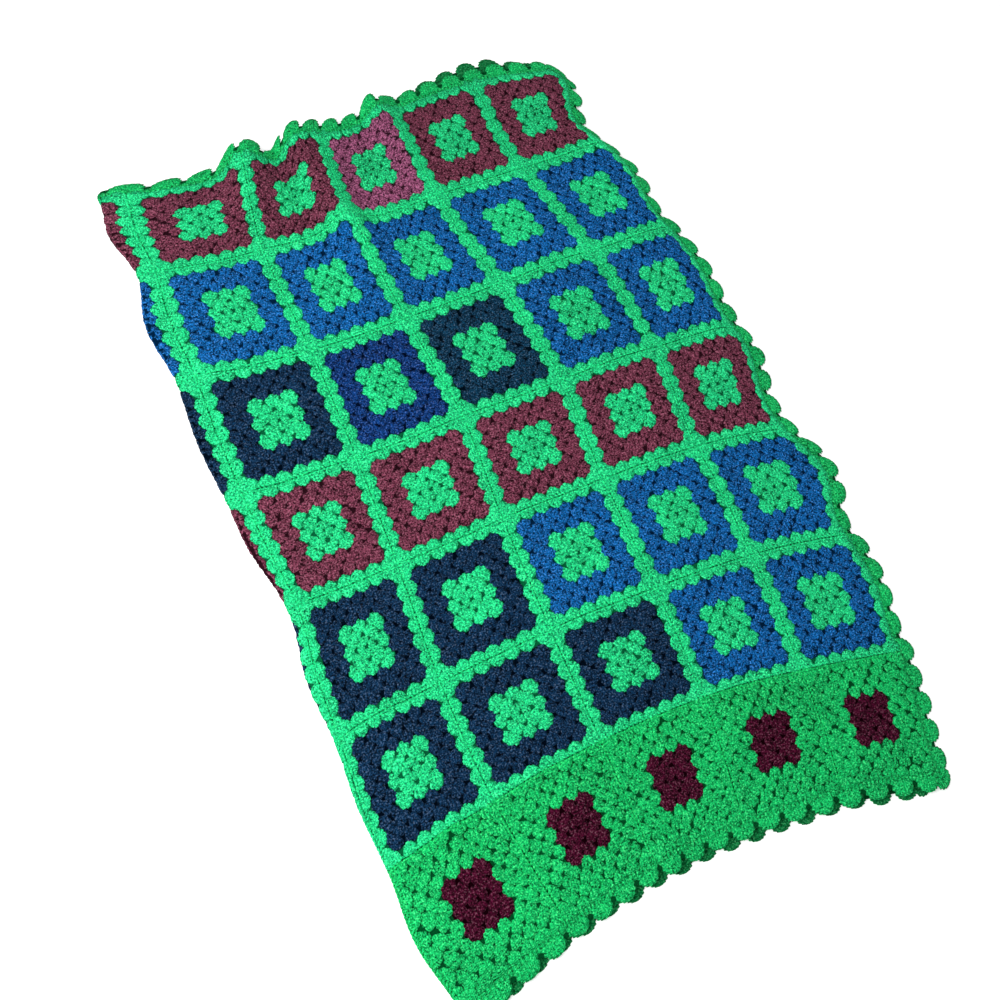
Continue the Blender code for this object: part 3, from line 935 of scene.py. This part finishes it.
# ================================================================ settings
class BlanketSettings(bpy.types.PropertyGroup):
    """What a user of the blanket would change."""

    green: bpy.props.FloatVectorProperty(
        name="Green", description="Centre, border and joins yarn", subtype="COLOR",
        default=(0.015, 0.64, 0.231), min=0, max=1)
    leaf_green: bpy.props.FloatVectorProperty(
        name="Leaf green", description="Yarn of the last row and the edging", subtype="COLOR",
        default=(0.007, 0.52, 0.132), min=0, max=1)
    maroon: bpy.props.FloatVectorProperty(
        name="Maroon", description="Ring yarn", subtype="COLOR",
        default=(0.163, 0.035, 0.065), min=0, max=1)
    rose: bpy.props.FloatVectorProperty(
        name="Rose maroon", description="Ring yarn of one paler square", subtype="COLOR",
        default=(0.280, 0.073, 0.158), min=0, max=1)
    blue: bpy.props.FloatVectorProperty(
        name="Royal blue", description="Ring yarn", subtype="COLOR",
        default=(0.003, 0.107, 0.34), min=0, max=1)
    navy: bpy.props.FloatVectorProperty(
        name="Navy", description="Ring yarn", subtype="COLOR",
        default=(0.003, 0.026, 0.070), min=0, max=1)
    violet: bpy.props.FloatVectorProperty(
        name="Violet navy", description="Ring yarn of one square", subtype="COLOR",
        default=(0.003, 0.038, 0.172), min=0, max=1)
    black_navy: bpy.props.FloatVectorProperty(
        name="Blackish navy", description="Ring yarn of one square", subtype="COLOR",
        default=(0.002, 0.035, 0.078), min=0, max=1)
    dark_maroon: bpy.props.FloatVectorProperty(
        name="Dark maroon", description="Centre yarn of the last row", subtype="COLOR",
        default=(0.060, 0.002, 0.018), min=0, max=1)
    light: bpy.props.FloatProperty(
        name="Studio light", description="Power of the large soft light", unit="POWER", default=26, min=0)
    lens: bpy.props.FloatProperty(
        name="Lens", description="Focal length of the camera", unit="CAMERA", default=45, min=1)


# ================================================================ operators
class BLANKET_OT_dye_yarns(bpy.types.Operator):
    """Make the material of every yarn"""

    bl_idname = "blanket.dye_yarns"
    bl_label = "Dye the yarns"

    def execute(self, context):
        settings = context.scene.blanket
        group = plied_yarn_group()
        for name in YARNS:
            dye = tuple(getattr(settings, name))
            yarn_material(name, dye, group)
            # Each yarn also gets a ground material of painted shade, its dye darkened
            painted_shade_material(name, dye)
        return {"FINISHED"}


class BLANKET_OT_lay_ground(bpy.types.Operator):
    """Lay the thin cloth that carries the stitches in its fold"""

    bl_idname = "blanket.lay_ground"
    bl_label = "Lay the ground cloth"

    def execute(self, context):
        mesh = ground_sheet()
        lay_mesh(mesh)
        for yarn in YARNS:
            # The ground materials carry painted shade: the dye of each yarn darkened
            mesh.materials.append(bpy.data.materials[f"{yarn} ground"])
        obj = bpy.data.objects.new("ground_cloth", mesh)
        context.scene.collection.objects.link(obj)
        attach(obj, "root")
        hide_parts("joined_squares")
        return {"FINISHED"}


class BLANKET_OT_crochet_squares(bpy.types.Operator):
    """Crochet the squares: a strip for each row that faces up, and one for those turned under"""

    bl_idname = "blanket.crochet_squares"
    bl_label = "Crochet the squares"

    def execute(self, context):
        hand = np.random.default_rng(HAND_SEED)
        fine = cluster_mesh(CLUSTER_POSTS, POST_RINGS, POST_SIDES)
        border = cluster_mesh(BORDER_POSTS, BORDER_RINGS, POST_SIDES)
        plain = cluster_mesh(CLUSTER_POSTS, PLAIN_RINGS, PLAIN_SIDES)
        patterns = [granny_square(fine, border, plain, hand) for _ in range(SQUARE_PATTERNS)]
        turned = granny_square(fine, border, plain, hand, TURNED_DETAIL_FROM)
        for row in range(ROWS):
            places = [(column_number, row) for column_number in range(-1, HALF)]
            square_strip(f"squares_row_{row + 1}", places, patterns, hand, turned)
        hidden = [(column_number, row) for row in range(ROWS) for column_number in range(-HALF, -1)]
        square_strip("squares_under", hidden, [granny_square(plain, plain, plain, hand)], hand)
        return {"FINISHED"}


class BLANKET_OT_join_squares(bpy.types.Operator):
    """Join the squares with two rows of chain along every seam"""

    bl_idname = "blanket.join_squares"
    bl_label = "Join the squares"

    def execute(self, context):
        hand = np.random.default_rng(HAND_SEED + 1)
        link = chain_mesh()
        length = ROWS * SQUARE_LENGTH
        for name, first, last, pitch, flatness in (
            ("joins", -1, HALF, CHAIN_PITCH, 1.0),
            ("joins_under", -HALF, -1, UNDER_CHAIN_PITCH, UNDER_CHAIN_FLATNESS),
        ):
            basket = Workbasket()
            for column_number in range(max(first, 1 - HALF), last):
                across = column_number * SQUARE_WIDTH
                add_join(basket, link, (across, 0), (across, -length), pitch, flatness, hand)
            for row in range(1, ROWS):
                down = -row * SQUARE_LENGTH
                start, end = (first * SQUARE_WIDTH, down), (last * SQUARE_WIDTH, down)
                add_join(basket, link, start, end, pitch, flatness, hand)
            blanket_object(name, basket.finish(name), ["green", "leaf_green"])
        return {"FINISHED"}


class BLANKET_OT_crochet_edging(bpy.types.Operator):
    """Crochet the base round and the shells of the edging"""

    bl_idname = "blanket.crochet_edging"
    bl_label = "Crochet the shell edging"

    def execute(self, context):
        mesh = edging_mesh(np.random.default_rng(HAND_SEED + 2))
        obj = blanket_object("shells", mesh, ["leaf_green"])
        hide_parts("shell_edging")
        return {"FINISHED"}


class BLANKET_OT_declare_cloth(bpy.types.Operator):
    bl_idname = "blanket.declare_cloth"
    bl_label = "Declare the cloth"

    def execute(self, context):
        names = [f"squares_row_{row + 1}" for row in range(ROWS)]
        names += ["squares_under", "joins", "joins_under", "shells"]
        return {"FINISHED"}


class BLANKET_OT_set_stage(bpy.types.Operator):
    """Set up the floor, the soft studio light and the camera"""

    bl_idname = "blanket.set_stage"
    bl_label = "Set the stage"

    def execute(self, context):
        settings = context.scene.blanket
        scene = context.scene
        bm = bmesh.new()
        bmesh.ops.create_grid(bm, x_segments=1, y_segments=1, size=FLOOR_SIZE / 2)
        mesh = bpy.data.meshes.new("floor")
        bm.to_mesh(mesh)
        bm.free()
        material = bpy.data.materials.new("pale floor")
        material.use_nodes = True
        shader = material.node_tree.nodes["Principled BSDF"]
        shader.inputs["Base Color"].default_value = (FLOOR_TONE, FLOOR_TONE, FLOOR_TONE, 1)
        shader.inputs["Roughness"].default_value = FLOOR_ROUGHNESS
        shader.inputs["Emission Color"].default_value = (1, 1, 1, 1)
        shader.inputs["Emission Strength"].default_value = FLOOR_GLOW
        mesh.materials.append(material)
        floor = bpy.data.objects.new("floor", mesh)
        scene.collection.objects.link(floor)

        lamp = bpy.data.lights.new("soft light", "AREA")
        lamp.shape = "DISK"
        lamp.size = LIGHT_SIZE
        lamp.energy = settings.light
        light = bpy.data.objects.new("soft light", lamp)
        light.location = LIGHT_PLACE
        light.rotation_euler = (-Vector(light.location)).to_track_quat("-Z", "Y").to_euler()
        scene.collection.objects.link(light)

        world = bpy.data.worlds.new("studio")
        world.use_nodes = True
        background = world.node_tree.nodes["Background"]
        background.inputs["Color"].default_value = (1, 1, 1, 1)
        background.inputs["Strength"].default_value = ROOM_LIGHT
        scene.world = world
        scene.view_settings.view_transform = "Standard"

        camera = bpy.data.cameras.new("camera")
        camera.lens = settings.lens
        camera.sensor_width = SENSOR_WIDTH
        camera.clip_end = VIEW_DEPTH
        view = bpy.data.objects.new("camera", camera)
        view.location = CAMERA_PLACE
        view.rotation_euler = [np.radians(angle) for angle in CAMERA_TURN]
        scene.collection.objects.link(view)
        scene.camera = view
        return {"FINISHED"}


STEPS = (
    BLANKET_OT_dye_yarns,
    BLANKET_OT_lay_ground,
    BLANKET_OT_crochet_squares,
    BLANKET_OT_join_squares,
    BLANKET_OT_crochet_edging,
    BLANKET_OT_declare_cloth,
    BLANKET_OT_set_stage,
)


class BLANKET_PT_panel(bpy.types.Panel):
    """The blanket's settings and steps"""

    bl_idname = "BLANKET_PT_panel"
    bl_label = "Granny square blanket"
    bl_space_type = "VIEW_3D"
    bl_region_type = "UI"
    bl_category = "Blanket"

    def draw(self, context):
        for name in BlanketSettings.__annotations__:
            self.layout.prop(context.scene.blanket, name)
        for step in STEPS:
            self.layout.operator(step.bl_idname)


CLASSES = (BlanketSettings, *STEPS, BLANKET_PT_panel)


def register():
    for cls in CLASSES:
        bpy.utils.register_class(cls)
    bpy.types.Scene.blanket = bpy.props.PointerProperty(type=BlanketSettings)


def unregister():
    del bpy.types.Scene.blanket
    for cls in reversed(CLASSES):
        bpy.utils.unregister_class(cls)


def main():
    register()
    for step in STEPS:
        group, name = step.bl_idname.split(".")
        getattr(getattr(bpy.ops, group), name)()


if __name__ == "__main__":
    main()
